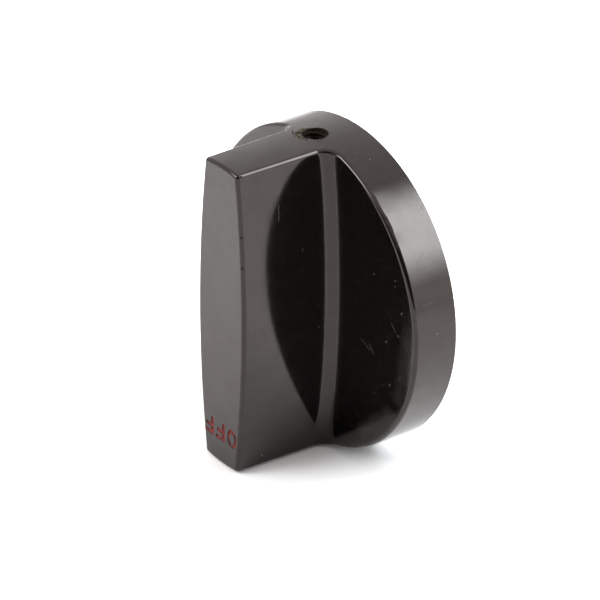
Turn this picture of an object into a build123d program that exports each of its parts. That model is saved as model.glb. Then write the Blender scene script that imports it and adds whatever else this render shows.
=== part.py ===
"""Bar-grip control knob: a black phenolic moulding with a moulded-in brass bush and a set screw.

Frame, in millimetres: the origin is the centre of the shaft bore's mouth, in the plane of the knob's
back. +Y leaves the back along the shaft, so the grip's front faces -Y. +Z is up, towards the end of the
grip that holds the set screw.
"""

import os
from math import radians, sqrt, tan

from build123d import *

# Outside of the moulding
skirt_diameter = 57.15  # 2 1/4 in across the back edge
skirt_height = 8.55  # back plane to the skirt's front face
overall_height = 26.85  # back plane to the grip's front face
draft_angle = 1.2  # degrees, on every wall that leaves the mould
grip_width_middle = 12.8  # across the grip's front face, at the shaft axis
grip_width_end = 8.9  # across the grip's front face, at either end
root_fillet = 2.65  # grip side into skirt face
edge_round = 0.7  # every outer edge at the front
back_chamfer = 0.3  # rim and hub edges in the back plane

# Inside of the moulding, open at the back
wall = 3.0  # rim, skirt face, and the grip's sides and front
end_wall = 5.0  # the grip's ends, one of which is tapped for the screw
hub_diameter = 16.0
rib_thickness = 2.4  # the two webs that tie the hub to the rim
rib_setback = 0.8  # webs stay this far inside the back plane
recess_chamfer = 0.8  # floor of the recess into its walls
well_clearance = 0.3  # radial, shaft to the well in front of the bush

# Brass bush, for a shaft of 1/4 in
shaft_diameter = 6.35
shaft_clearance = 0.025  # radial, a sliding fit
bushing_diameter = 9.525
bushing_length = 16.0
bushing_chamfer = 0.3  # mouth of the shaft bore

# Set screw, number 8-32 by 1/4 in, drawn at its thread's outer diameter
screw_diameter = 4.166
screw_length = 6.35
screw_height = 7.85  # back plane to the screw's axis
thread_clearance = 0.04  # radial, screw to tapped hole
tip_setback = 0.2  # screw tip stays this far outside the shaft bore
socket_size = 1.984  # hexagon, across flats
socket_depth = 2.4
cup_diameter = 2.2  # rim of the cup at the screw's tip
cup_depth = 0.55
end_chamfer = 0.45

# Sizes that follow from those above
draft_slope = tan(radians(draft_angle))
skirt_radius = skirt_diameter / 2
front_radius = skirt_radius - overall_height * draft_slope
grip_height = overall_height - skirt_height
grip_end_z = sqrt(front_radius**2 - (grip_width_end / 2) ** 2)
bulge = (grip_width_middle - grip_width_end) / 2
side_radius = (grip_end_z**2 + bulge**2) / (2 * bulge) + grip_height * draft_slope
side_centre = grip_width_middle / 2 + grip_height * draft_slope - side_radius
recess_depth = skirt_height - wall
recess_radius = skirt_radius - wall
floor_radius = recess_radius - recess_depth * draft_slope
hub_radius = hub_diameter / 2
hub_foot_radius = hub_radius + recess_depth * draft_slope
pocket_side_radius = side_radius - wall
pocket_end_radius = skirt_radius - end_wall
pocket_hub_radius = hub_foot_radius + recess_chamfer
pocket_depth = overall_height - wall
bore_radius = shaft_diameter / 2 + shaft_clearance
well_radius = shaft_diameter / 2 + well_clearance
bushing_radius = bushing_diameter / 2
screw_radius = screw_diameter / 2
screw_hole_radius = screw_radius + thread_clearance
screw_tip_z = bore_radius + tip_setback
screw_head_z = screw_tip_z + screw_length
overrun = 5.0  # how far a cutting shape runs past what it cuts

# Planes that face the front, each at its depth from the back, and planes across the screw's axis
rib_plane = Plane.XZ.offset(rib_setback)
recess_plane = Plane.XZ.offset(recess_depth)
skirt_plane = Plane.XZ.offset(skirt_height)
screw_side_plane = Plane.XZ.offset(screw_height)
screw_hole_plane = Plane(origin=(0, -screw_height, 0))
screw_head_plane = Plane(origin=(0, -screw_height, screw_head_z))
screw_axis = Axis((0, -screw_height, 0), (0, 0, 1))

os.makedirs("parts", exist_ok=True)

# Brass bush: turned, bored through, and cross-drilled on one side for the screw
with BuildPart() as shaft_bushing:
    with BuildSketch(Plane.XY):
        with BuildLine():
            Polyline(
                (bore_radius + bushing_chamfer, 0),
                (bushing_radius, 0),
                (bushing_radius, -bushing_length),
                (bore_radius, -bushing_length),
                (bore_radius, -bushing_chamfer),
                close=True,
            )
        make_face()
    revolve(axis=Axis.Y)
    with BuildSketch(screw_hole_plane):
        Circle(screw_hole_radius)
    extrude(amount=bushing_radius + overrun, mode=Mode.SUBTRACT)

# The room that the bush fills in the moulding, with the well for the shaft's end in front of it
with BuildPart() as bushing_seat:
    with BuildSketch(Plane.XY):
        with BuildLine():
            Polyline(
                (0, 0),
                (bushing_radius, 0),
                (bushing_radius, -bushing_length),
                (well_radius, -bushing_length),
                (well_radius, -pocket_depth),
                (0, -pocket_depth),
                close=True,
            )
        make_face()
    revolve(axis=Axis.Y)

# Phenolic moulding
with BuildPart() as knob_body:
    # One drafted cone carries the skirt's rim and both ends of the grip
    with BuildSketch(Plane.XY):
        with BuildLine():
            Polyline(
                (0, 0),
                (skirt_radius, 0),
                (front_radius, -overall_height),
                (0, -overall_height),
                close=True,
            )
        make_face()
    revolve(axis=Axis.Y)

    # Two side reliefs leave the grip between them, wider at its middle than at its ends
    with BuildSketch(skirt_plane):
        Circle(skirt_radius + overrun)
        with Locations((side_centre, 0)):
            Circle(side_radius, mode=Mode.SUBTRACT)
        mirror(about=Plane.YZ)
    extrude(amount=grip_height + overrun, mode=Mode.SUBTRACT)
    draft(knob_body.faces().filter_by(GeomType.CYLINDER), skirt_plane, draft_angle)

    # The grip's sides run into the skirt's face, then every outer edge in front of the back is rounded
    skirt_faces = knob_body.faces().filter_by(GeomType.PLANE).sort_by(Axis.Y)[1:3]
    fillet(skirt_faces.edges().filter_by(lambda edge: edge.radius > skirt_radius), root_fillet)
    front_face = knob_body.faces().filter_by(GeomType.PLANE).sort_by(Axis.Y)[0]
    outer_cone = knob_body.faces().filter_by(GeomType.CONE).sort_by(SortBy.AREA)[-1]
    front_edges = front_face.edges() + outer_cone.edges().filter_by(GeomType.LINE, reverse=True)
    fillet(front_edges.filter_by_position(Axis.Y, -overall_height, -edge_round), edge_round)

    # Recess behind the skirt, round the hub, with two webs across it
    with BuildSketch(Plane.XY) as recess_section:
        with BuildLine():
            Polyline(
                (hub_radius, 0),
                (hub_foot_radius, -recess_depth),
                (floor_radius, -recess_depth),
                (recess_radius, 0),
                close=True,
            )
        make_face()
        chamfer(recess_section.vertices().group_by(Axis.Y)[0], recess_chamfer)
    revolve(axis=Axis.Y, mode=Mode.SUBTRACT)
    with BuildSketch(rib_plane):
        Rectangle(2 * recess_radius + wall, rib_thickness)
    extrude(amount=recess_depth - rib_setback + wall / 2)
    chamfer(knob_body.edges().group_by(Axis.Y)[-1], back_chamfer)

    # Two pockets, between the hub and the grip's ends, keep the grip's walls even and open towards the back
    with BuildSketch(recess_plane):
        Circle(pocket_end_radius)
        with Locations((side_centre, 0)):
            Circle(pocket_side_radius, mode=Mode.INTERSECT)
        with Locations((-side_centre, 0)):
            Circle(pocket_side_radius, mode=Mode.INTERSECT)
        Circle(pocket_hub_radius, mode=Mode.SUBTRACT)
    extrude(amount=pocket_depth - recess_depth, mode=Mode.SUBTRACT)
    draft(knob_body.faces().filter_by(GeomType.CYLINDER), recess_plane, -draft_angle)

    # Seat of the bush, and the tapped hole from the end of the grip into it
    add(bushing_seat.part, mode=Mode.SUBTRACT)
    with BuildSketch(screw_hole_plane):
        Circle(screw_hole_radius)
    extrude(amount=skirt_radius + overrun, mode=Mode.SUBTRACT)

# Set screw: cup point towards the shaft, hexagon socket towards the hole's mouth
with BuildPart() as set_screw:
    with BuildSketch(screw_side_plane):
        with BuildLine():
            Polyline(
                (0, screw_tip_z + cup_depth),
                (cup_diameter / 2, screw_tip_z),
                (screw_radius - end_chamfer, screw_tip_z),
                (screw_radius, screw_tip_z + end_chamfer),
                (screw_radius, screw_head_z - end_chamfer),
                (screw_radius - end_chamfer, screw_head_z),
                (0, screw_head_z),
                close=True,
            )
        make_face()
    revolve(axis=screw_axis)
    with BuildSketch(screw_head_plane):
        RegularPolygon(socket_size / 2, side_count=6, major_radius=False)
    extrude(amount=-socket_depth, mode=Mode.SUBTRACT)

knob_body.part.label = "knob_body"
shaft_bushing.part.label = "shaft_bushing"
set_screw.part.label = "set_screw"
export_step(knob_body.part, "parts/knob_body.step")
export_step(shaft_bushing.part, "parts/shaft_bushing.step")
export_step(set_screw.part, "parts/set_screw.step")
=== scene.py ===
"""Looks for the bar-grip control knob: a black phenolic moulding with a red OFF, a brass bush and a set screw.

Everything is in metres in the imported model's frame: +Y leaves the back along the shaft, the grip's front
faces -Y, and +Z points to the end of the grip that holds the set screw.
"""

import logging
import math
from dataclasses import dataclass
from enum import Enum
from typing import Callable, Sequence, Union

import bmesh
import bpy
from mathutils import Matrix, Vector, noise


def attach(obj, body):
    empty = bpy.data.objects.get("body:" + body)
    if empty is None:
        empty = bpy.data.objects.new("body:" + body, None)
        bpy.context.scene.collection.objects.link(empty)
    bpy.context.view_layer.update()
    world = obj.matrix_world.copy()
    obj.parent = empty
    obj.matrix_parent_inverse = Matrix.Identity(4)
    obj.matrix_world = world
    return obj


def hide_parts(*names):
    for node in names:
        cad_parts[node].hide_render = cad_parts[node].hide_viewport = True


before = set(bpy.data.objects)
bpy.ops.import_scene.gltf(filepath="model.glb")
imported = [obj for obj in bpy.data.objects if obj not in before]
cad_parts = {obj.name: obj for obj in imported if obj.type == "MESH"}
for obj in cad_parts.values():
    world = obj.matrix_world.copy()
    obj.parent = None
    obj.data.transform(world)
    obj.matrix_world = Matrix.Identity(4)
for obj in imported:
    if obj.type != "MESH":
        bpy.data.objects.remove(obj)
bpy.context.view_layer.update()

log = logging.getLogger("control_knob")

MM = 0.001
MERGE_GAP = 0.001 * MM
AREA_WEIGHT = 100
PHOTO_WIDTH = 600

Colour = tuple[float, float, float]
Point = tuple[float, float, float]
Socket = bpy.types.NodeSocket
Feed = Union[bpy.types.NodeSocket, float, Sequence[float]]


class BodyName(Enum):
    """The bodies that pieces ride on."""

    KNOB = "knob"
    SCREW = "screw"


class NodeName(Enum):
    """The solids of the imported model."""

    MOULDING = "knob_body"
    BUSH = "shaft_bushing"
    SCREW = "set_screw"


class SlotName(Enum):
    """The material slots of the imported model."""

    PHENOLIC = "phenolic"
    BRASS = "brass"
    STEEL = "screw_steel"


class Skin(Enum):
    """Order of the finishes on the moulding's faces."""

    POLISHED = 0
    RAW = 1
    PAINT = 2


class Carving(Enum):
    """What a tool does to the mesh that it meets."""

    CUT = "DIFFERENCE"
    JOIN = "UNION"


class Effect(Enum):
    """Surface effects that several finishes share."""

    MOTTLE = "mottle"
    SPECKS = "specks"
    STREAKS = "streaks"
    HAIRLINES = "hairlines"
    MARK = "mark"


class Graph:
    """Adds and links the nodes of one node tree."""

    def __init__(self, tree: bpy.types.NodeTree) -> None:
        """Keeps the tree that nodes are added to."""
        self.tree = tree

    def add(self, kind: str, **settings: object) -> bpy.types.Node:
        """Adds a node.

        Args:
            kind: Blender's name for the node type.
            settings: properties of the node, by name.

        Returns:
            The new node.
        """
        node = self.tree.nodes.new(kind)
        for name, value in settings.items():
            setattr(node, name, value)
        return node

    def feed(self, target: Socket, source: Feed) -> None:
        """Links a socket into another, or sets it to a plain value."""
        if isinstance(source, bpy.types.NodeSocket):
            self.tree.links.new(source, target)
        else:
            target.default_value = source

    def math(self, operation: str, first: Feed, second: Feed = 0.0, clamp: bool = False) -> Socket:
        """Adds a Math node.

        Args:
            operation: the node's operation.
            first: first operand.
            second: second operand, where the operation takes one.
            clamp: keeps the result between 0 and 1.

        Returns:
            The result's socket.
        """
        node = self.add("ShaderNodeMath", operation=operation, use_clamp=clamp)
        self.feed(node.inputs[0], first)
        self.feed(node.inputs[1], second)
        return node.outputs[0]

    def vector(self, operation: str, first: Feed, second: Feed = (0.0, 0.0, 0.0)) -> bpy.types.Node:
        """Adds a Vector Math node.

        Args:
            operation: the node's operation.
            first: first vector.
            second: second vector, or the factor of a SCALE.

        Returns:
            The node, whose result is its Vector or its Value.
        """
        node = self.add("ShaderNodeVectorMath", operation=operation)
        self.feed(node.inputs[0], first)
        self.feed(node.inputs["Scale"] if operation == "SCALE" else node.inputs[1], second)
        return node

    def noise(self, vector: Socket, scale: Feed, detail: float, rough: float = 0.5) -> Socket:
        """Adds a Noise Texture and returns its value."""
        node = self.add("ShaderNodeTexNoise")
        self.feed(node.inputs["Vector"], vector)
        self.feed(node.inputs["Scale"], scale)
        node.inputs["Detail"].default_value = detail
        node.inputs["Roughness"].default_value = rough
        return node.outputs[0]

    def ramp(self, value: Socket, low: Feed, high: Feed, start: Feed = 0.0, end: Feed = 1.0) -> Socket:
        """Maps a value smoothly from one range to another.

        Args:
            value: what is mapped.
            low: the value that gives start.
            high: the value that gives end.
            start: result at and before low.
            end: result at and past high.

        Returns:
            The mapped value's socket.
        """
        node = self.add("ShaderNodeMapRange", interpolation_type="SMOOTHSTEP")
        for socket, source in zip(node.inputs, (value, low, high, start, end)):
            self.feed(socket, source)
        return node.outputs[0]

    def blend(self, mask: Socket, under: Feed, over: Feed) -> Socket:
        """Mixes two colours by a mask and returns the colour."""
        node = self.add("ShaderNodeMix", data_type="RGBA")
        self.feed(node.inputs[0], mask)
        self.feed(node.inputs[6], under if isinstance(under, bpy.types.NodeSocket) else (*under, 1.0))
        self.feed(node.inputs[7], over if isinstance(over, bpy.types.NodeSocket) else (*over, 1.0))
        return node.outputs[2]

    def millimetres(self) -> Socket:
        """Returns the surface point in the object's frame, in millimetres."""
        place = self.add("ShaderNodeTexCoord").outputs["Object"]
        return self.vector("SCALE", place, 1.0 / MM).outputs[0]


class EffectLibrary:
    """Builds each shared effect once, as a node group, and places it in materials."""

    def __init__(self) -> None:
        """Makes every group."""
        makers = {
            Effect.MOTTLE: (("Scale", "Contrast"), (), self._mottle),
            Effect.SPECKS: (("Scale", "Size", "Amount"), (), self._specks),
            Effect.STREAKS: (("Contrast",), ("Stretch",), self._streaks),
            Effect.HAIRLINES: (("Scale", "Amount"), ("Along",), self._hairlines),
            Effect.MARK: (("Width",), ("Start", "Span"), self._mark),
        }
        self.groups = {}
        for effect, (values, vectors, maker) in makers.items():
            self.groups[effect] = self._group(effect, values, vectors, maker)

    @staticmethod
    def _group(
        effect: Effect,
        values: Sequence[str],
        vectors: Sequence[str],
        maker: Callable[[Graph, bpy.types.NodeOutputs], Socket],
    ) -> bpy.types.NodeTree:
        """Makes one group with its sockets.

        Args:
            effect: the effect, whose value names the group.
            values: names of the plain number inputs.
            vectors: names of the vector inputs besides the surface point.
            maker: fills the group and returns the mask's socket.

        Returns:
            The node group.
        """
        tree = bpy.data.node_groups.new(effect.value, "ShaderNodeTree")
        for name in ("Vector", *vectors):
            tree.interface.new_socket(name=name, in_out="INPUT", socket_type="NodeSocketVector")
        for name in values:
            tree.interface.new_socket(name=name, in_out="INPUT", socket_type="NodeSocketFloat")
        tree.interface.new_socket(name="Mask", in_out="OUTPUT", socket_type="NodeSocketFloat")
        graph = Graph(tree)
        entry = graph.add("NodeGroupInput")
        graph.feed(graph.add("NodeGroupOutput").inputs["Mask"], maker(graph, entry.outputs))
        return tree

    @staticmethod
    def _mottle(graph: Graph, given: bpy.types.NodeOutputs) -> Socket:
        """Soft blotches: high Contrast gives hard ones."""
        value = graph.noise(given["Vector"], given["Scale"], 5.0, 0.55)
        centred = graph.math("SUBTRACT", value, 0.5)
        return graph.math("ADD", graph.math("MULTIPLY", centred, given["Contrast"]), 0.5, clamp=True)

    @staticmethod
    def _specks(graph: Graph, given: bpy.types.NodeOutputs) -> Socket:
        """Scattered grains, each of its own size, in a share of the cells given by Amount."""
        warp = graph.add("ShaderNodeTexNoise")
        graph.feed(warp.inputs["Vector"], given["Vector"])
        graph.feed(warp.inputs["Scale"], 6.0)
        wobble = graph.vector("SCALE", warp.outputs["Color"], 0.3).outputs[0]
        cells = graph.add("ShaderNodeTexVoronoi")
        graph.feed(cells.inputs["Vector"], graph.vector("ADD", given["Vector"], wobble).outputs[0])
        graph.feed(cells.inputs["Scale"], given["Scale"])
        dice = graph.add("ShaderNodeSeparateColor")
        graph.feed(dice.inputs[0], cells.outputs["Color"])
        size = graph.math("MULTIPLY", given["Size"], graph.math("ADD", dice.outputs[1], 0.25))
        inside = graph.ramp(cells.outputs["Distance"], size, 0.0)
        chosen = graph.math("LESS_THAN", dice.outputs[0], given["Amount"])
        return graph.math("MULTIPLY", inside, chosen)

    @staticmethod
    def _streaks(graph: Graph, given: bpy.types.NodeOutputs) -> Socket:
        """Fine lines that run where Stretch is small."""
        drawn = graph.vector("MULTIPLY", given["Vector"], given["Stretch"]).outputs[0]
        value = graph.math("SUBTRACT", graph.noise(drawn, 1.0, 3.0, 0.6), 0.5)
        return graph.math("ADD", graph.math("MULTIPLY", value, given["Contrast"]), 0.5, clamp=True)

    @staticmethod
    def _hairlines(graph: Graph, given: bpy.types.NodeOutputs) -> Socket:
        """Sparse hair-thin scratches along Along, broken up by blotches."""
        turned = graph.add("ShaderNodeVectorRotate", rotation_type="EULER_XYZ")
        graph.feed(turned.inputs["Vector"], given["Vector"])
        graph.feed(turned.inputs["Rotation"], given["Along"])
        drawn = graph.vector("MULTIPLY", turned.outputs[0], (9.0, 9.0, 0.28)).outputs[0]
        lines = graph.ramp(graph.noise(drawn, given["Scale"], 1.0), 0.70, 0.76)
        gaps = graph.ramp(graph.noise(given["Vector"], 0.35, 2.0), 0.52, 0.62)
        return graph.math("MULTIPLY", graph.math("MULTIPLY", lines, gaps), given["Amount"])

    @staticmethod
    def _mark(graph: Graph, given: bpy.types.NodeOutputs) -> Socket:
        """One scratch or grain: a soft line from Start along Span."""
        away = graph.vector("SUBTRACT", given["Vector"], given["Start"]).outputs[0]
        along = graph.vector("DOT_PRODUCT", away, given["Span"]).outputs["Value"]
        whole = graph.vector("DOT_PRODUCT", given["Span"], given["Span"]).outputs["Value"]
        share = graph.math("DIVIDE", along, whole, clamp=True)
        reach = graph.vector("SCALE", given["Span"], share).outputs[0]
        gap = graph.vector("DISTANCE", away, reach).outputs["Value"]
        return graph.ramp(gap, given["Width"], 0.0)

    def place(self, graph: Graph, effect: Effect, vector: Socket, **values: Feed) -> Socket:
        """Places an effect in a material.

        Args:
            graph: the material's nodes.
            effect: the effect to place.
            vector: the surface point.
            values: the effect's own values, by socket name.

        Returns:
            The mask's socket.
        """
        node = graph.add("ShaderNodeGroup", node_tree=self.groups[effect])
        graph.feed(node.inputs["Vector"], vector)
        for name, value in values.items():
            graph.feed(node.inputs[name], value)
        return node.outputs["Mask"]


class Finish:
    """A material under way: its nodes, its shader and the surface point."""

    def __init__(self, name: str, effects: EffectLibrary) -> None:
        """Makes an empty material.

        Args:
            name: the material's name.
            effects: the shared effects.
        """
        self.material = bpy.data.materials.new(name)
        self.material.use_nodes = True
        self.graph = Graph(self.material.node_tree)
        self.shader = self.material.node_tree.nodes["Principled BSDF"]
        self.effects = effects
        self.point = self.graph.millimetres()

    def effect(self, effect: Effect, **values: Feed) -> Socket:
        """Places a shared effect at the surface point and returns its mask."""
        return self.effects.place(self.graph, effect, self.point, **values)

    def set(self, name: str, source: Feed) -> None:
        """Feeds one of the shader's sockets."""
        self.graph.feed(self.shader.inputs[name], source)

    def bump(self, height: Socket, depth: float, below: Union[Socket, None] = None) -> Socket:
        """Adds a Bump node.

        Args:
            height: the relief, from 0 to 1.
            depth: what 1 stands for, in metres.
            below: the normal that it adds to, if any.

        Returns:
            The normal's socket.
        """
        node = self.graph.add("ShaderNodeBump")
        node.inputs["Distance"].default_value = depth
        self.graph.feed(node.inputs["Height"], height)
        if below is not None:
            self.graph.feed(node.inputs["Normal"], below)
        return node.outputs[0]


@dataclass(frozen=True)
class SurfaceMark:
    """One scratch, grain of dust or smear on the moulding, in millimetres."""

    start: Point
    span: Point
    width: float

    def mask(self, finish: Finish) -> Socket:
        """Places the mark in a finish and returns its mask."""
        return finish.effect(Effect.MARK, Start=self.start, Span=self.span, Width=self.width)


@dataclass(frozen=True)
class PhenolicFinish:
    """Polished black phenolic: filler mottle, draw marks, hairlines, dust and the marks of use, pale patches on the
    skirt that are partly dust haze and partly a painted highlight, and a painted warm tint on its reflections.
    """

    skin: Colour = (0.0008, 0.0007, 0.0006)
    mottle: Colour = (0.0020, 0.0016, 0.0013)
    fleck: Colour = (0.0200, 0.0140, 0.0095)
    dust: Colour = (0.30, 0.28, 0.25)
    # Painted warm tint on every reflection of the moulding, standing in for warm light round the knob.
    warm_reflection_tint: Colour = (1.0, 0.88, 0.85)
    scratches: tuple[SurfaceMark, ...] = (
        SurfaceMark((5.44, -19.21, 20.86), (0.27, -0.18, -2.72), 0.07),
        SurfaceMark((14.27, -8.55, -3.34), (2.30, 0.0, -1.00), 0.09),
        SurfaceMark((16.36, -8.55, -3.31), (1.30, 0.0, -1.30), 0.07),
        SurfaceMark((6.27, -14.88, 12.15), (0.04, -0.02, -0.77), 0.06),
        SurfaceMark((21.95, -8.55, 3.10), (1.20, 0.0, -1.20), 0.06),
    )
    grains: tuple[SurfaceMark, ...] = (
        SurfaceMark((4.80, -21.79, -25.82), (0.02, 0.10, -0.12), 0.16),
        SurfaceMark((5.13, -22.64, -23.05), (0.02, 0.08, -0.08), 0.10),
        SurfaceMark((17.16, -8.55, 10.05), (0.08, 0.0, 0.05), 0.10),
        SurfaceMark((22.59, -8.55, 11.13), (0.05, 0.0, 0.05), 0.10),
        SurfaceMark((24.50, -8.55, 5.94), (0.05, 0.0, 0.08), 0.12),
        SurfaceMark((23.78, -8.55, 1.56), (0.08, 0.0, -0.05), 0.12),
        SurfaceMark((20.75, -8.55, -0.95), (0.05, 0.0, 0.05), 0.12),
        SurfaceMark((22.01, -8.55, -8.45), (0.05, 0.0, 0.05), 0.13),
        SurfaceMark((9.94, -4.30, 26.68), (0.08, 0.0, -0.03), 0.13),
        SurfaceMark((28.36, -4.18, 2.59), (0.0, 0.08, 0.05), 0.12),
        SurfaceMark((7.18, -9.70, -2.51), (0.05, 0.0, 0.10), 0.10),
    )
    # Pale patches in the dust's colour along the skirt's lower right edge: partly dust haze, partly a painted
    # highlight of the edge's soft reflection.
    dust_and_glow_films: tuple[SurfaceMark, ...] = (
        SurfaceMark((26.4, -8.3, 3.0), (-2.0, 0.0, -13.0), 2.2),
        SurfaceMark((22.0, -8.4, -14.0), (-7.0, 0.0, -6.5), 2.2),
    )
    fleck_share: float = 0.6
    hair_share: float = 0.22
    dust_and_glow_shares: tuple[float, float] = (0.03, 0.065)
    dust_share: float = 0.85
    polish: float = 0.055
    blotch_rough: float = 0.02
    smudge_rough: float = 0.03
    hair_rough: float = 0.20
    dust_rough: float = 0.5
    coat_most: float = 0.06
    coat_rough: float = 0.08
    resin_ior: float = 1.5
    peel_depth: float = 0.0012 * MM
    draw_depth: float = 0.0006 * MM
    mark_depth: float = 0.02 * MM

    def make(self, effects: EffectLibrary) -> bpy.types.Material:
        """Builds the material.

        Args:
            effects: the shared effects.

        Returns:
            The material.
        """
        finish = Finish("phenolic_polished", effects)
        graph = finish.graph
        blotch = finish.effect(Effect.MOTTLE, Scale=0.13, Contrast=2.2)
        smudge = finish.effect(Effect.MOTTLE, Scale=0.31, Contrast=3.0)
        fleck = finish.effect(Effect.SPECKS, Scale=2.4, Size=0.34, Amount=0.30)
        dust = finish.effect(Effect.SPECKS, Scale=0.62, Size=0.055, Amount=0.35)
        draw = finish.effect(Effect.STREAKS, Stretch=(7.0, 0.10, 7.0), Contrast=2.0)
        hair = finish.effect(Effect.HAIRLINES, Along=(0.5, 0.9, 0.2), Scale=1.0, Amount=0.8)
        for grain in self.grains:
            dust = graph.math("MAXIMUM", dust, grain.mask(finish))
        for scratch in self.scratches:
            hair = graph.math("MAXIMUM", hair, scratch.mask(finish))

        colour = graph.blend(blotch, self.skin, self.mottle)
        colour = graph.blend(graph.math("MULTIPLY", fleck, self.fleck_share), colour, self.fleck)
        colour = graph.blend(graph.math("MULTIPLY", hair, self.hair_share), colour, self.dust)
        # The dust colour laid here is partly dust haze and partly a painted highlight along the skirt's edge.
        for dust_and_glow_film in self.dust_and_glow_films:
            share = graph.ramp(smudge, 0.0, 1.0, *self.dust_and_glow_shares)
            colour = graph.blend(graph.math("MULTIPLY", dust_and_glow_film.mask(finish), share), colour, self.dust)
        colour = graph.blend(graph.math("MULTIPLY", dust, self.dust_share), colour, self.dust)
        finish.set("Base Color", colour)

        rough = graph.math("ADD", graph.math("MULTIPLY", blotch, self.blotch_rough), self.polish)
        rough = graph.math("ADD", rough, graph.math("MULTIPLY", smudge, self.smudge_rough))
        rough = graph.math("ADD", rough, graph.math("MULTIPLY", hair, self.hair_rough))
        rough = graph.math("ADD", rough, graph.math("MULTIPLY", dust, self.dust_rough), clamp=True)
        finish.set("Roughness", rough)
        coat = graph.ramp(smudge, 0.0, 1.0, self.coat_most, 0.0)
        finish.set("Coat Weight", graph.math("SUBTRACT", coat, dust, clamp=True))
        finish.set("Coat Roughness", self.coat_rough)
        finish.set("Coat IOR", self.resin_ior)
        finish.set("IOR", self.resin_ior)
        # Specular Tint carries the painted warm tint of the reflections.
        finish.set("Specular Tint", (*self.warm_reflection_tint, 1.0))

        normal = finish.bump(graph.noise(finish.point, scale=1.3, detail=3.0), self.peel_depth)
        normal = finish.bump(draw, self.draw_depth, normal)
        finish.set("Normal", finish.bump(graph.math("SUBTRACT", dust, hair), self.mark_depth, normal))
        return finish.material


@dataclass(frozen=True)
class RawPhenolicFinish:
    """Broken or tapped phenolic: dull brown with the filler's grain showing; down the hole it is painted almost
    black, a painted shade made of darker copies of the raw colours.
    """

    deep: Colour = (0.016, 0.009, 0.005)
    grain: Colour = (0.105, 0.082, 0.048)
    dust: Colour = (0.34, 0.29, 0.20)
    # Painted shade: darker copies of the deep and grain colours for the hole's wall and thread.
    bore_shaded_deep: Colour = (0.008, 0.004, 0.0022)
    bore_shaded_grain: Colour = (0.045, 0.031, 0.015)
    bore_axis: Point = (0.0, -7.85, 0.0)
    bore_radii: tuple[float, float] = (2.14, 2.36)
    crumb_share: float = 0.6
    bore_shaded_grain_share: float = 0.5
    roughness: tuple[float, float] = (0.75, 0.95)
    dull_ior: float = 1.25
    break_depth: float = 0.06 * MM
    crumb_depth: float = 0.03 * MM

    def make(self, effects: EffectLibrary) -> bpy.types.Material:
        """Builds the material.

        Args:
            effects: the shared effects.

        Returns:
            The material.
        """
        finish = Finish("phenolic_raw", effects)
        graph = finish.graph
        fibres = finish.effect(Effect.MOTTLE, Scale=4.5, Contrast=4.0)
        crumbs = finish.effect(Effect.SPECKS, Scale=5.5, Size=0.42, Amount=0.22)
        away = graph.vector("SUBTRACT", finish.point, self.bore_axis).outputs[0]
        level = graph.vector("MULTIPLY", away, (1.0, 1.0, 0.0)).outputs[0]
        reach = graph.vector("LENGTH", level).outputs["Value"]
        # Mask of the hole: inside it the surface takes the painted shade colours.
        broken = graph.ramp(reach, *self.bore_radii)
        colour = graph.blend(fibres, self.deep, self.grain)
        colour = graph.blend(graph.math("MULTIPLY", crumbs, self.crumb_share), colour, self.dust)
        # The hole's wall colour is painted shade, mottled like the raw surface.
        wall = graph.blend(graph.math("MULTIPLY", fibres, self.bore_shaded_grain_share), self.bore_shaded_deep, self.bore_shaded_grain)
        finish.set("Base Color", graph.blend(broken, wall, colour))
        finish.set("Roughness", graph.ramp(fibres, 0.0, 1.0, *self.roughness))
        finish.set("IOR", self.dull_ior)
        normal = finish.bump(graph.noise(finish.point, scale=5.0, detail=4.0, rough=0.6), self.break_depth)
        finish.set("Normal", finish.bump(crumbs, self.crumb_depth, normal))
        return finish.material


@dataclass(frozen=True)
class LetterPaintFinish:
    """Old red paint rubbed into the engraving, thin in places so that the black shows."""

    paint: Colour = (0.36, 0.045, 0.042)
    worn: Colour = (0.115, 0.009, 0.004)
    edge: Colour = (0.022, 0.0015, 0.001)
    bare: Colour = (0.014, 0.010, 0.009)
    face: float = -26.85
    edge_depths: tuple[float, float] = (0.03, 0.17)
    thin_from: float = -3.0
    thin_to: float = -4.6
    thin_shares: tuple[float, float] = (0.62, 0.12)
    gone_turn: tuple[float, float] = (-0.05, 0.12)
    roughness: tuple[float, float] = (0.60, 0.35)
    paint_ior: float = 1.35
    brush_depth: float = 0.02 * MM

    def make(self, effects: EffectLibrary) -> bpy.types.Material:
        """Builds the material.

        Args:
            effects: the shared effects.

        Returns:
            The material.
        """
        finish = Finish("letter_paint", effects)
        graph = finish.graph
        patch = finish.effect(Effect.MOTTLE, Scale=1.5, Contrast=4.0)
        flake = finish.effect(Effect.MOTTLE, Scale=1.7, Contrast=5.0)
        across = graph.add("ShaderNodeSeparateXYZ")
        graph.feed(across.inputs[0], finish.point)
        thin = graph.ramp(across.outputs["X"], self.thin_to, self.thin_from, *self.thin_shares)
        gone = graph.ramp(graph.math("SUBTRACT", thin, flake), *self.gone_turn)
        depth = graph.math("SUBTRACT", across.outputs["Y"], self.face)
        colour = graph.blend(patch, self.worn, self.paint)
        colour = graph.blend(graph.ramp(depth, *self.edge_depths), self.edge, colour)
        finish.set("Base Color", graph.blend(gone, colour, self.bare))
        finish.set("Roughness", graph.ramp(gone, 0.0, 1.0, *self.roughness))
        finish.set("IOR", self.paint_ior)
        brushed = graph.noise(finish.point, scale=6.0, detail=3.0)
        finish.set("Normal", finish.bump(brushed, self.brush_depth))
        return finish.material


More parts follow.
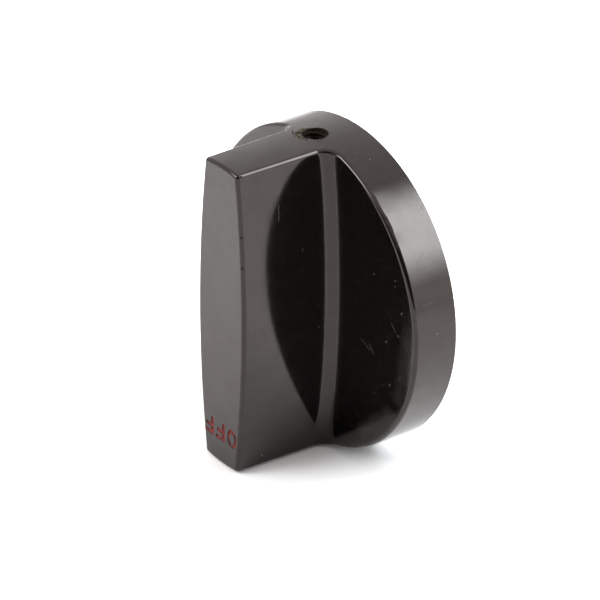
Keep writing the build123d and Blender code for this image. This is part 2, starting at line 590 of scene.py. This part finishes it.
@dataclass(frozen=True)
class BrassFinish:
    """Turned brass with tool rings and a little tarnish."""

    bright: Colour = (0.62, 0.43, 0.17)
    tarnish: Colour = (0.30, 0.19, 0.085)
    tarnish_share: float = 0.75
    roughness: tuple[float, float] = (0.24, 0.46)
    hair_rough: float = 0.2
    ring_depth: float = 0.004 * MM

    def make(self, effects: EffectLibrary) -> bpy.types.Material:
        """Builds the material.

        Args:
            effects: the shared effects.

        Returns:
            The material.
        """
        finish = Finish("brass_turned", effects)
        graph = finish.graph
        rings = finish.effect(Effect.STREAKS, Stretch=(0.25, 14.0, 0.25), Contrast=2.6)
        tarnish = finish.effect(Effect.MOTTLE, Scale=0.55, Contrast=2.4)
        hair = finish.effect(Effect.HAIRLINES, Along=(1.57, 0.0, 0.0), Scale=1.4, Amount=0.7)
        share = graph.math("MULTIPLY", tarnish, self.tarnish_share)
        finish.set("Base Color", graph.blend(share, self.bright, self.tarnish))
        finish.set("Metallic", 1.0)
        rough = graph.ramp(tarnish, 0.0, 1.0, *self.roughness)
        finish.set("Roughness", graph.math("ADD", rough, graph.math("MULTIPLY", hair, self.hair_rough)))
        finish.set("Normal", finish.bump(rings, self.ring_depth))
        return finish.material


@dataclass(frozen=True)
class ScrewFinish:
    """Plain hardened steel, dark from its heat treatment and worn bright in places."""

    dark: Colour = (0.075, 0.075, 0.080)
    worn: Colour = (0.36, 0.35, 0.34)
    worn_share: float = 0.8
    roughness: tuple[float, float] = (0.46, 0.28)
    ring_depth: float = 0.003 * MM

    def make(self, effects: EffectLibrary) -> bpy.types.Material:
        """Builds the material.

        Args:
            effects: the shared effects.

        Returns:
            The material.
        """
        finish = Finish("steel_hardened", effects)
        graph = finish.graph
        wear = finish.effect(Effect.MOTTLE, Scale=1.1, Contrast=3.2)
        rings = finish.effect(Effect.STREAKS, Stretch=(0.3, 0.3, 12.0), Contrast=2.4)
        finish.set("Base Color", graph.blend(graph.math("MULTIPLY", wear, self.worn_share), self.dark, self.worn))
        finish.set("Metallic", 1.0)
        finish.set("Roughness", graph.ramp(wear, 0.0, 1.0, *self.roughness))
        finish.set("Normal", finish.bump(rings, self.ring_depth))
        return finish.material


def cover(shape: bmesh.types.BMesh, skin: Skin) -> bmesh.types.BMesh:
    """Gives every face of a shape one finish and returns the shape."""
    for face in shape.faces:
        face.material_index = skin.value
    return shape


@dataclass
class Workbench:
    """Turns bmeshes into objects and carves one mesh with others."""

    materials: list[bpy.types.Material]

    def finish(self, name: str, shape: bmesh.types.BMesh) -> bpy.types.Object:
        """Makes an object of a bmesh and frees the bmesh.

        Args:
            name: the object's name.
            shape: its mesh.

        Returns:
            The object, linked to the scene.
        """
        mesh = bpy.data.meshes.new(name)
        shape.to_mesh(mesh)
        shape.free()
        for material in self.materials:
            mesh.materials.append(material)
        piece = bpy.data.objects.new(name, mesh)
        bpy.context.scene.collection.objects.link(piece)
        return piece

    def carve(self, piece: bpy.types.Object, tools: Sequence[tuple[Carving, bmesh.types.BMesh]]) -> None:
        """Cuts or joins closed shapes into a piece, in order.

        Args:
            piece: the object whose mesh changes.
            tools: what each shape does, and the shape.
        """
        cutters = []
        for carving, shape in tools:
            cutter = self.finish("tool", shape)
            step = piece.modifiers.new("carve", "BOOLEAN")
            step.operation = carving.value
            step.object = cutter
            step.solver = "EXACT"
            step.material_mode = "INDEX"
            cutters.append(cutter)
        view = bpy.context.evaluated_depsgraph_get()
        carved = bpy.data.meshes.new_from_object(piece.evaluated_get(view))
        plain = piece.data
        piece.modifiers.clear()
        piece.data = carved
        carved.name = plain.name
        bpy.data.meshes.remove(plain)
        for cutter in cutters:
            mesh = cutter.data
            bpy.data.objects.remove(cutter)
            bpy.data.meshes.remove(mesh)

    @staticmethod
    def smooth(piece: bpy.types.Object, crease: float) -> None:
        """Shades a piece smooth between its sharp edges and its finishes, led by its large faces.

        Args:
            piece: the object.
            crease: edges that turn by more than this, in degrees, stay sharp.
        """
        piece.data.shade_smooth()
        shape = bmesh.new()
        shape.from_mesh(piece.data)
        for edge in shape.edges:
            finishes = {face.material_index for face in edge.link_faces}
            edge.smooth = len(finishes) == 1 and edge.calc_face_angle(0.0) < math.radians(crease)
        shape.to_mesh(piece.data)
        shape.free()
        even = piece.modifiers.new("even_normals", "WEIGHTED_NORMAL")
        even.keep_sharp = True
        even.weight = AREA_WEIGHT


@dataclass(frozen=True)
class Chip:
    """A flake broken from the moulding, or a crumb left on it, in millimetres."""

    centre: Point
    radii: Point
    turn: Point
    rough: float
    seed: float

    def shape(self, fineness: int = 3) -> bmesh.types.BMesh:
        """Models the chip as a lumpy ellipsoid.

        Args:
            fineness: subdivisions of the sphere that it starts from.

        Returns:
            The closed mesh, in metres.
        """
        lump = bmesh.new()
        bmesh.ops.create_icosphere(lump, subdivisions=fineness, radius=1.0)
        offset = Vector((self.seed, 2.0 * self.seed, 3.0 * self.seed))
        for vert in lump.verts:
            vert.co *= 1.0 + self.rough * noise.fractal(1.8 * vert.co + offset, 1.0, 2.0, 3)
        bmesh.ops.scale(lump, vec=Vector(self.radii) * MM, verts=lump.verts)
        for axis, angle in zip("XYZ", self.turn):
            spin = Matrix.Rotation(math.radians(angle), 3, axis)
            bmesh.ops.rotate(lump, cent=(0.0, 0.0, 0.0), matrix=spin, verts=lump.verts)
        bmesh.ops.translate(lump, vec=Vector(self.centre) * MM, verts=lump.verts)
        return cover(lump, Skin.RAW)


@dataclass
class Lettering:
    """The word at the lower end of the grip's front face, cut with a round-nosed tool and filled with paint."""

    face: float = -26.85 * MM
    foot: float = -20.22 * MM
    top: float = -23.00 * MM
    middle: float = -21.60 * MM
    tool_radius: float = 0.40 * MM
    tool_lift: float = 0.12 * MM
    stems: tuple[float, float] = (0.80 * MM, -2.39 * MM)
    long_arm: float = 1.85 * MM
    short_arm: float = 1.50 * MM
    ring_centre: float = 3.20 * MM
    ring_half_width: float = 1.00 * MM
    tool_sides: int = 14
    ring_steps: int = 40
    waist: float = 1e-4 * MM

    def stroke(self, start: Vector, end: Vector) -> bmesh.types.BMesh:
        """Models one straight cut.

        Args:
            start: where the tool goes in.
            end: where it comes out.

        Returns:
            A bar with round ends.
        """
        bar = bmesh.new()
        sides = self.tool_sides
        bmesh.ops.create_uvsphere(bar, u_segments=sides, v_segments=sides, radius=self.tool_radius)
        half = (end - start).length / 2
        for vert in bar.verts:
            vert.co.z += math.copysign(half, vert.co.z) if abs(vert.co.z) > self.waist else 0.0
        turn = Vector((0.0, 0.0, 1.0)).rotation_difference(end - start)
        bmesh.ops.rotate(bar, cent=(0.0, 0.0, 0.0), matrix=turn.to_matrix(), verts=bar.verts)
        bmesh.ops.translate(bar, vec=(start + end) / 2, verts=bar.verts)
        return cover(bar, Skin.PAINT)

    def ring(self) -> bmesh.types.BMesh:
        """Models the round letter's cut and returns it."""
        half_height = abs(self.top - self.foot) / 2
        hoop = bmesh.new()
        place = Matrix.Translation((half_height, 0.0, 0.0)) @ Matrix.Rotation(math.pi, 4, "X")
        section = bmesh.ops.create_circle(hoop, segments=self.tool_sides, radius=self.tool_radius, matrix=place)
        bmesh.ops.spin(
            hoop,
            geom=section["verts"] + hoop.edges[:],
            cent=(0.0, 0.0, 0.0),
            axis=(0.0, 1.0, 0.0),
            angle=math.tau,
            steps=self.ring_steps,
            use_merge=True,
        )
        bmesh.ops.remove_doubles(hoop, verts=hoop.verts, dist=MERGE_GAP)
        bmesh.ops.scale(hoop, vec=(self.ring_half_width / half_height, 1.0, 1.0), verts=hoop.verts)
        centre = Vector((self.ring_centre, self.face - self.tool_lift, (self.top + self.foot) / 2))
        bmesh.ops.translate(hoop, vec=centre, verts=hoop.verts)
        bmesh.ops.recalc_face_normals(hoop, faces=hoop.faces)
        return cover(hoop, Skin.PAINT)

    def tools(self) -> list[tuple[Carving, bmesh.types.BMesh]]:
        """Returns the cut of every stroke."""
        cuts = [self.ring()]
        depth = self.face - self.tool_lift
        for stem in self.stems:
            foot = Vector((stem, depth, self.foot))
            top = Vector((stem, depth, self.top))
            middle = Vector((stem, depth, self.middle))
            cuts.append(self.stroke(foot, top))
            cuts.append(self.stroke(top, top - Vector((self.long_arm, 0.0, 0.0))))
            cuts.append(self.stroke(middle, middle - Vector((self.short_arm, 0.0, 0.0))))
        return [(Carving.CUT, cut) for cut in cuts]


@dataclass
class ScrewThread:
    """The thread of a number 8-32 screw, in the hole or on the screw."""

    axis_y: float = -7.85 * MM
    pitch: float = 0.794 * MM
    steps: int = 32

    def coil(self, profile: Sequence[tuple[float, float]], closed: bool, turns: float) -> bmesh.types.BMesh:
        """Winds a section round the screw's axis.

        Args:
            profile: radius and height of each point of the section.
            closed: whether the section is a closed one.
            turns: how many turns it makes.

        Returns:
            The wound mesh, with its doubles merged.
        """
        coil = bmesh.new()
        verts = [coil.verts.new((radius, self.axis_y, height)) for radius, height in profile]
        edges = [coil.edges.new(pair) for pair in zip(verts, verts[1:])]
        if closed:
            edges.append(coil.edges.new((verts[-1], verts[0])))
        count = round(self.steps * turns)
        bmesh.ops.spin(
            coil,
            geom=verts + edges,
            cent=(0.0, self.axis_y, 0.0),
            axis=(0.0, 0.0, 1.0),
            dvec=(0.0, 0.0, self.pitch / self.steps),
            angle=math.tau * turns,
            steps=count,
        )
        bmesh.ops.remove_doubles(coil, verts=coil.verts, dist=MERGE_GAP)
        return coil


@dataclass
class Moulding:
    """The phenolic body: skirt, grip, letters, tapped hole and the chips that use has left.

    The cone and the flakes on it are in millimetres, as chips are.
    """

    hole_radius: float = 2.123 * MM
    hole_from: float = 22.0 * MM
    ridge_tip: float = 1.80 * MM
    ridge_root: float = 2.20 * MM
    ridge_half_width: float = 0.33 * MM
    ridge_tip_half_width: float = 0.06 * MM
    ridge_start: float = 24.05 * MM
    ridge_turns: float = 4.6
    cone_radius: float = 28.575
    cone_slope: float = 0.020947
    flake_count: int = 27
    worn_side: float = 218.0
    worn_rows: int = 4
    worn_growth: float = 0.45
    flake_inset: float = 0.05
    flake_pitch: float = 0.33
    flake_scatter: float = 0.16
    flake_twist: float = 0.1
    flake_radii: Point = (0.17, 0.13, 0.10)
    flake_spread: Point = (0.12, 0.08, 0.06)
    flake_rough: float = 0.5
    wall_slack: float = 0.02 * MM
    flat_angle: float = 0.05
    crease: float = 34.0
    chips: tuple[Chip, ...] = (
        Chip((-1.85, -9.75, 28.36), (0.60, 0.85, 0.34), (0.0, 0.0, -32.0), 0.45, 3.1),
        Chip((-2.15, -8.30, 28.36), (0.45, 0.60, 0.26), (0.0, 0.0, 10.0), 0.45, 5.3),
        Chip((0.20, -10.10, 28.38), (0.45, 0.22, 0.16), (0.0, 0.0, 15.0), 0.50, 9.2),
        Chip((5.52, -26.62, 17.11), (0.20, 0.20, 0.28), (0.0, 0.0, 30.0), 0.40, 21.7),
        Chip((5.80, -26.70, 11.69), (0.20, 0.20, 0.24), (0.0, 0.0, 30.0), 0.40, 24.9),
        Chip((4.40, -25.90, 27.40), (0.20, 0.24, 0.18), (0.0, 0.0, 30.0), 0.40, 27.3),
        Chip((-4.60, 0.02, 28.30), (0.42, 0.20, 0.16), (0.0, 8.0, 0.0), 0.45, 30.2),
        Chip((-2.90, 0.02, 28.53), (0.36, 0.18, 0.12), (0.0, 5.0, 0.0), 0.45, 33.4),
        Chip((-6.10, 0.02, 28.00), (0.30, 0.16, 0.10), (0.0, 12.0, 0.0), 0.45, 36.1),
        Chip((28.60, 0.02, 5.40), (0.12, 0.18, 0.40), (0.0, 0.0, 0.0), 0.45, 39.5),
    )
    crumbs: tuple[Chip, ...] = (
        Chip((0.95, -10.35, 28.38), (0.16, 0.12, 0.09), (0.0, 0.0, 25.0), 0.40, 41.2),
        Chip((-0.75, -10.60, 28.37), (0.20, 0.13, 0.10), (0.0, 0.0, -15.0), 0.40, 44.6),
        Chip((2.35, -8.20, 28.31), (0.13, 0.18, 0.09), (0.0, 0.0, 10.0), 0.40, 47.3),
        Chip((2.30, -9.00, 28.29), (0.10, 0.13, 0.07), (0.0, 0.0, 35.0), 0.40, 50.1),
        Chip((-3.35, -9.95, 28.20), (0.13, 0.11, 0.07), (0.0, 0.0, 0.0), 0.40, 53.8),
        Chip((-2.95, -8.45, 28.22), (0.15, 0.12, 0.08), (0.0, 0.0, 20.0), 0.40, 55.9),
        Chip((-2.60, -10.60, 28.23), (0.14, 0.16, 0.08), (0.0, 0.0, -25.0), 0.40, 58.2),
        Chip((-1.30, -10.80, 28.32), (0.12, 0.15, 0.07), (0.0, 0.0, 40.0), 0.40, 61.5),
    )

    def _ragged_edge(self, thread: ScrewThread) -> list[Chip]:
        """Returns the small flakes missing from the hole's mouth, which lie in more rows where it is most worn."""
        flakes = []
        for step in range(self.flake_count):
            angle = math.tau * step / self.flake_count
            worn = max(0.0, math.cos(angle - math.radians(self.worn_side))) ** 2
            for row in range(1 + round(self.worn_rows * worn)):
                wild = [noise.noise(Vector((1.7 * step, 3.1 + 7.3 * row, part))) for part in (0.3, 5.3, 9.7, 14.1)]
                reach = self.hole_radius / MM + self.flake_inset + self.flake_pitch * row
                reach += self.flake_scatter * wild[0]
                x = reach * math.cos(angle + self.flake_twist * row)
                y = thread.axis_y / MM + reach * math.sin(angle + self.flake_twist * row)
                z = math.sqrt((self.cone_radius + self.cone_slope * y) ** 2 - x**2)
                size = 1.0 + self.worn_growth * worn * (1.0 + wild[0])
                long, wide, deep = (
                    radius + spread * part for radius, spread, part in zip(self.flake_radii, self.flake_spread, wild[1:])
                )
                turn = math.degrees(angle) + 90.0 + 60.0 * wild[1]
                radii = (size * long, size * wide, deep)
                seed = 60.0 + 2.3 * step + 0.7 * row
                flakes.append(Chip((x, y, z), radii, (0.0, 0.0, turn), self.flake_rough, seed))
        return flakes

    def _ridge(self, thread: ScrewThread) -> bmesh.types.BMesh:
        """Models the thread's ridge in the hole and returns it, closed at both ends."""
        profile = (
            (self.ridge_root, self.ridge_start - self.ridge_half_width),
            (self.ridge_root, self.ridge_start + self.ridge_half_width),
            (self.ridge_tip, self.ridge_start + self.ridge_tip_half_width),
            (self.ridge_tip, self.ridge_start - self.ridge_tip_half_width),
        )
        ridge = thread.coil(profile, True, self.ridge_turns)
        ends = [edge for edge in ridge.edges if edge.is_boundary]
        bmesh.ops.holes_fill(ridge, edges=ends, sides=len(profile))
        bmesh.ops.recalc_face_normals(ridge, faces=ridge.faces)
        return cover(ridge, Skin.RAW)

    def _solid(self, thread: ScrewThread) -> bmesh.types.BMesh:
        """Merges the solid's triangles into whole faces, marks the drilled wall as raw, and returns the mesh."""
        solid = bmesh.new()
        solid.from_mesh(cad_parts[NodeName.MOULDING.value].data)
        bmesh.ops.remove_doubles(solid, verts=solid.verts, dist=MERGE_GAP)
        bmesh.ops.dissolve_limit(
            solid, angle_limit=math.radians(self.flat_angle), verts=solid.verts, edges=solid.edges
        )
        for face in solid.faces:
            middle = face.calc_center_median()
            reach = math.hypot(middle.x, middle.y - thread.axis_y)
            drilled = middle.z > self.hole_from and reach < self.hole_radius + self.wall_slack
            face.material_index = Skin.RAW.value if drilled else Skin.POLISHED.value
        return solid

    def build(self, bench: Workbench, letters: Lettering, thread: ScrewThread) -> bpy.types.Object:
        """Models the body and puts it in the solid's place.

        Args:
            bench: makes and carves the mesh.
            letters: the engraved word.
            thread: the thread of the hole.

        Returns:
            The body's object.
        """
        piece = bench.finish("moulding", self._solid(thread))
        tools = [(Carving.JOIN, self._ridge(thread))]
        tools += letters.tools()
        tools += [(Carving.CUT, chip.shape()) for chip in self.chips]
        tools += [(Carving.CUT, flake.shape(2)) for flake in self._ragged_edge(thread)]
        tools += [(Carving.JOIN, crumb.shape(2)) for crumb in self.crumbs]
        bench.carve(piece, tools)
        bench.smooth(piece, self.crease)
        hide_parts(NodeName.MOULDING.value)
        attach(piece, BodyName.KNOB.value)
        return piece


@dataclass
class SetScrew:
    """The headless screw: thread, hexagon socket towards the hole's mouth and cup point towards the shaft."""

    crest: float = 2.06 * MM
    root: float = 1.66 * MM
    tip_z: float = 3.40 * MM
    head_z: float = 9.75 * MM
    chamfer: float = 0.45 * MM
    socket_flats: float = 1.984 * MM
    socket_depth: float = 2.4 * MM
    cup_radius: float = 1.1 * MM
    cup_depth: float = 0.55 * MM
    cup_sides: int = 32
    section: tuple[float, ...] = (0.0, 0.14, 0.50, 0.62)
    rim_slack: float = 0.01 * MM
    crease: float = 30.0

    def _rod(self, thread: ScrewThread) -> bmesh.types.BMesh:
        """Models the threaded rod, trimmed to length with chamfered ends, and returns it."""
        profile = []
        height = self.tip_z - 2 * thread.pitch
        while height < self.head_z + thread.pitch:
            for radius, share in zip((self.root, self.root, self.crest, self.crest), self.section):
                profile.append((radius, height + share * thread.pitch))
            height += thread.pitch
        rod = thread.coil(profile, False, 1.0)
        for end, side in ((self.tip_z, -1.0), (self.head_z, 1.0)):
            bmesh.ops.bisect_plane(
                rod,
                geom=rod.verts[:] + rod.edges[:] + rod.faces[:],
                plane_co=(0.0, thread.axis_y, end),
                plane_no=(0.0, 0.0, side),
                clear_outer=True,
            )
            bounds = [edge for edge in rod.edges if edge.is_boundary]
            rim = [edge for edge in bounds if abs(edge.verts[0].co.z - end) < self.rim_slack]
            bmesh.ops.holes_fill(rod, edges=rim, sides=0)
        for vert in rod.verts:
            inset = min(vert.co.z - self.tip_z, self.head_z - vert.co.z)
            spoke = Vector((vert.co.x, vert.co.y - thread.axis_y, 0.0))
            limit = self.crest - self.chamfer + inset
            if spoke.length > limit:
                spoke *= limit / spoke.length
                vert.co.x = spoke.x
                vert.co.y = spoke.y + thread.axis_y
        bmesh.ops.recalc_face_normals(rod, faces=rod.faces)
        return rod

    def _socket(self, thread: ScrewThread) -> bmesh.types.BMesh:
        """Models the hexagon hole and returns it."""
        key = bmesh.new()
        corner = self.socket_flats / math.sqrt(3.0)
        place = Matrix.Translation((0.0, thread.axis_y, self.head_z))
        bmesh.ops.create_cone(
            key, cap_ends=True, segments=6, radius1=corner, radius2=corner, depth=2 * self.socket_depth, matrix=place
        )
        return key

    def _cup(self, thread: ScrewThread) -> bmesh.types.BMesh:
        """Models the hollow of the point and returns it."""
        cup = bmesh.new()
        place = Matrix.Translation((0.0, thread.axis_y, self.tip_z))
        bmesh.ops.create_cone(
            cup,
            cap_ends=True,
            segments=self.cup_sides,
            radius1=2 * self.cup_radius,
            radius2=0.0,
            depth=2 * self.cup_depth,
            matrix=place,
        )
        return cup

    def build(self, bench: Workbench, thread: ScrewThread) -> bpy.types.Object:
        """Models the screw and puts it in the solid's place.

        Args:
            bench: makes and carves the mesh.
            thread: the screw's thread.

        Returns:
            The screw's object.
        """
        piece = bench.finish("threaded_screw", self._rod(thread))
        bench.carve(piece, [(Carving.CUT, self._socket(thread)), (Carving.CUT, self._cup(thread))])
        bench.smooth(piece, self.crease)
        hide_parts(NodeName.SCREW.value)
        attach(piece, BodyName.SCREW.value)
        return piece


@dataclass(frozen=True)
class FloorFinish:
    """A white matt sweep that shows the knob's shadow as it falls.

    Camera, mirrored and transmitted rays see it brighter than the light on it would make it, so that the
    background is white with no more light on the knob. For those rays it is painted less bright in front of the knob,
    a painted shade on the camera's side, and round the knob's foot beside the grip, a painted shadow; it is also less
    bright far away. Places are in millimetres.
    """

    white: Colour = (0.93, 0.93, 0.925)
    bright: Colour = (2.0, 2.0, 2.0)
    # Painted shade: the floor is shown less bright on the camera's side of the knob.
    front: Colour = (1.4, 1.4, 1.4)
    camera_side_shade_way: Point = (0.616, -0.788, 0.0)
    camera_side_shade_turn: tuple[float, float] = (0.35, 0.95)
    # Painted shadow: the floor is shown darker round the knob's foot beside the grip, deepening the shadow there.
    contact_shade: Colour = (1.38, 1.38, 1.38)
    contact_shade_spot: Point = (3.0, -14.0, 0.0)
    contact_shade_reach: tuple[float, float] = (8.0, 20.0)
    far: Colour = (1.50, 1.50, 1.50)
    far_reach: tuple[float, float] = (150.0, 800.0)
    depth_limit: float = 1.5

    def make(self, effects: EffectLibrary) -> bpy.types.Material:
        """Builds the material.

        Args:
            effects: the shared effects.

        Returns:
            The material.
        """
        finish = Finish("sweep_white", effects)
        graph = finish.graph
        path = graph.add("ShaderNodeLightPath")
        seen = graph.math("MAXIMUM", path.outputs["Is Camera Ray"], path.outputs["Is Glossy Ray"])
        seen = graph.math("MAXIMUM", seen, path.outputs["Is Transmission Ray"])
        seen = graph.math("MULTIPLY", seen, graph.math("LESS_THAN", path.outputs["Ray Depth"], self.depth_limit))
        level = graph.vector("MULTIPLY", finish.point, (1.0, 1.0, 0.0)).outputs[0]
        reach = graph.vector("DISTANCE", level, self.contact_shade_spot).outputs["Value"]
        way = graph.vector("NORMALIZE", level).outputs[0]
        turned = graph.vector("DOT_PRODUCT", way, self.camera_side_shade_way).outputs["Value"]
        # Painted shade on the camera's side of the knob.
        shown = graph.blend(graph.ramp(turned, *self.camera_side_shade_turn), self.bright, self.front)
        # Painted shadow round the knob's foot.
        shown = graph.blend(graph.ramp(reach, *self.contact_shade_reach), self.contact_shade, shown)
        shown = graph.blend(graph.ramp(reach, *self.far_reach), shown, self.far)
        matt = graph.add("ShaderNodeBsdfDiffuse")
        graph.feed(matt.inputs["Color"], graph.blend(seen, self.white, shown))
        output = finish.material.node_tree.nodes["Material Output"]
        graph.feed(output.inputs["Surface"], matt.outputs[0])
        return finish.material


@dataclass(frozen=True)
class Softbox:
    """A lamp behind a white cloth, aimed at the knob, brightest at its middle."""

    name: str
    direction: Point
    along: Point
    size: tuple[float, float]
    radiance: float
    distance: float = 2.4
    tint: Colour = (1.0, 1.0, 1.0)
    fade: tuple[float, float] = (0.10, 0.50)

    def build(self) -> bpy.types.Object:
        """Hangs the softbox and returns it."""
        width, height = self.size
        lamp = bpy.data.lights.new(self.name, "AREA")
        lamp.shape = "RECTANGLE"
        lamp.size = width
        lamp.size_y = height
        lamp.color = self.tint
        lamp.energy = self.radiance * math.pi * width * height
        lamp.use_nodes = True
        graph = Graph(lamp.node_tree)
        cloth = graph.add("ShaderNodeSeparateXYZ")
        graph.feed(cloth.inputs[0], graph.add("ShaderNodeNewGeometry").outputs["Parametric"])
        fades = []
        for axis in "XY":
            aside = graph.math("ABSOLUTE", graph.math("SUBTRACT", cloth.outputs[axis], 0.5))
            fades.append(graph.ramp(aside, *self.fade, 1.0, 0.0))
        graph.feed(lamp.node_tree.nodes["Emission"].inputs["Strength"], graph.math("MULTIPLY", *fades))
        softbox = bpy.data.objects.new(self.name, lamp)
        away = Vector(self.direction).normalized()
        across = away.cross(Vector(self.along)).normalized()
        turn = Matrix((across.cross(away), across, away)).transposed()
        softbox.matrix_world = Matrix.Translation(away * self.distance) @ turn.to_4x4()
        bpy.context.scene.collection.objects.link(softbox)
        return softbox


@dataclass
class Studio:
    """The floor, the soft light and the camera."""

    floor_half: float = 4.0
    lean: float = 1.2
    contact: float = 28.575 * MM
    floor_gap: float = 0.01 * MM
    sky_warmth: Colour = (1.0, 0.955, 0.94)
    horizon: float = 0.62
    wall: float = 0.66
    ceiling: float = 0.72
    mirrored: float = 1.87
    room_side: float = 0.30
    room_mirrored: float = 0.10
    room_turn: tuple[float, float] = (0.40, 0.85)
    wall_heights: tuple[float, float] = (0.10, 0.40)
    ceiling_heights: tuple[float, float] = (0.58, 0.80)
    lamps: tuple[Softbox, ...] = (
        Softbox(
            "softbox_right", (0.575, 0.53, 0.625), (0.72, 0.0, -0.695), (3.00, 0.80), 9.8, tint=(0.93, 1.0, 1.04)
        ),
        Softbox("softbox_left", (-0.33, -0.77, 0.55), (0.92, -0.39, 0.0), (2.00, 0.80), 18.0),
        Softbox("softbox_low", (0.83, 0.53, 0.10), (0.54, -0.84, 0.0), (3.60, 1.30), 1.0),
    )
    eye: Point = (0.34903187, -0.27465794, 0.23648623)
    right: Point = (0.59848278, 0.80105571, 0.01131889)
    up: Point = (-0.38891007, 0.27815143, 0.87828283)
    back: Point = (0.70040511, -0.53003918, 0.47800748)
    focal_pixels: float = 2974.5
    sensor: float = 36.0
    clip_start: float = 0.01

    def build_floor(self, material: bpy.types.Material) -> bpy.types.Object:
        """Lays the floor along the line of the cone that the knob lies on.

        Args:
            material: the floor's finish.

        Returns:
            The floor's object.
        """
        sheet = bmesh.new()
        bmesh.ops.create_grid(sheet, x_segments=2, y_segments=2, size=self.floor_half)
        lean = Matrix.Rotation(math.radians(-self.lean), 3, "X")
        bmesh.ops.rotate(sheet, cent=(0.0, 0.0, 0.0), matrix=lean, verts=sheet.verts)
        bmesh.ops.translate(sheet, vec=(0.0, 0.0, -self.contact - self.floor_gap), verts=sheet.verts)
        floor = Workbench([material]).finish("floor", sheet)
        return floor

    def _towards(self) -> Vector:
        """Returns the level direction from the knob to the camera."""
        return Vector((self.back[0], self.back[1], 0.0)).normalized()

    def build_sky(self) -> None:
        """Sets a soft sky, darker on the camera's side, brighter where it is mirrored, and white behind the scene."""
        world = bpy.data.worlds.new("studio")
        world.use_nodes = True
        bpy.context.scene.world = world
        graph = Graph(world.node_tree)
        way = graph.add("ShaderNodeTexCoord").outputs["Object"]
        heading = graph.add("ShaderNodeSeparateXYZ")
        graph.feed(heading.inputs[0], way)
        wall = graph.ramp(heading.outputs["Z"], *self.wall_heights, self.horizon, self.wall)
        level = graph.ramp(heading.outputs["Z"], *self.ceiling_heights, 0.0, self.ceiling - self.wall)
        turned = graph.vector("DOT_PRODUCT", way, self._towards()[:])
        path = graph.add("ShaderNodeLightPath")
        mirror = graph.math("MAXIMUM", path.outputs["Is Glossy Ray"], path.outputs["Is Transmission Ray"])
        side = graph.ramp(mirror, 0.0, 1.0, self.room_side, self.room_mirrored)
        dark = graph.ramp(turned.outputs["Value"], *self.room_turn, 1.0, side)
        dark = graph.math("MULTIPLY", dark, graph.ramp(mirror, 0.0, 1.0, 1.0, self.mirrored))
        background = world.node_tree.nodes["Background"]
        background.inputs["Color"].default_value = (*self.sky_warmth, 1.0)
        graph.feed(background.inputs["Strength"], graph.math("MULTIPLY", graph.math("ADD", wall, level), dark))
        white = graph.add("ShaderNodeBackground")
        either = graph.add("ShaderNodeMixShader")
        graph.feed(either.inputs[0], path.outputs["Is Camera Ray"])
        graph.feed(either.inputs[1], background.outputs[0])
        graph.feed(either.inputs[2], white.outputs[0])
        white.inputs["Color"].default_value = (1.0, 1.0, 1.0, 1.0)
        graph.feed(world.node_tree.nodes["World Output"].inputs["Surface"], either.outputs[0])

    def build_camera(self) -> bpy.types.Object:
        """Sets the camera where the photograph was taken from and returns it."""
        lens = bpy.data.cameras.new("camera")
        lens.sensor_width = self.sensor
        lens.sensor_fit = "HORIZONTAL"
        lens.lens = self.focal_pixels * self.sensor / PHOTO_WIDTH
        lens.clip_start = self.clip_start
        camera = bpy.data.objects.new("camera", lens)
        turn = Matrix((self.right, self.up, self.back)).transposed()
        camera.matrix_world = Matrix.Translation(self.eye) @ turn.to_4x4()
        bpy.context.scene.collection.objects.link(camera)
        bpy.context.scene.camera = camera
        return camera


@dataclass
class ShaftBush:
    """The brass bush, which keeps the solid's own shape."""

    material: bpy.types.Material

    def dress(self) -> bpy.types.Object:
        """Gives the bush its finish and returns it."""
        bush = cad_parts[NodeName.BUSH.value]
        bush.material_slots[0].material = self.material
        return bush


def main() -> None:
    """Builds the part and the studio in order, and reports each piece."""
    logging.basicConfig(level=logging.INFO)
    bpy.context.scene.view_settings.view_transform = "Standard"
    effects = EffectLibrary()
    thread = ScrewThread()
    skins = [PhenolicFinish().make(effects), RawPhenolicFinish().make(effects), LetterPaintFinish().make(effects)]
    moulding = Moulding().build(Workbench(skins), Lettering(), thread)
    log.info("%s: %d faces", moulding.name, len(moulding.data.polygons))
    screw = SetScrew().build(Workbench([ScrewFinish().make(effects)]), thread)
    log.info("%s: %d faces", screw.name, len(screw.data.polygons))
    bush = ShaftBush(BrassFinish().make(effects)).dress()
    log.info("%s: %d faces", bush.name, len(bush.data.polygons))
    studio = Studio()
    for item in (
        studio.build_floor(FloorFinish().make(effects)),
        *(lamp.build() for lamp in studio.lamps),
        studio.build_camera(),
    ):
        log.info("%s: in place", item.name)
    studio.build_sky()


if __name__ == "__main__":
    main()
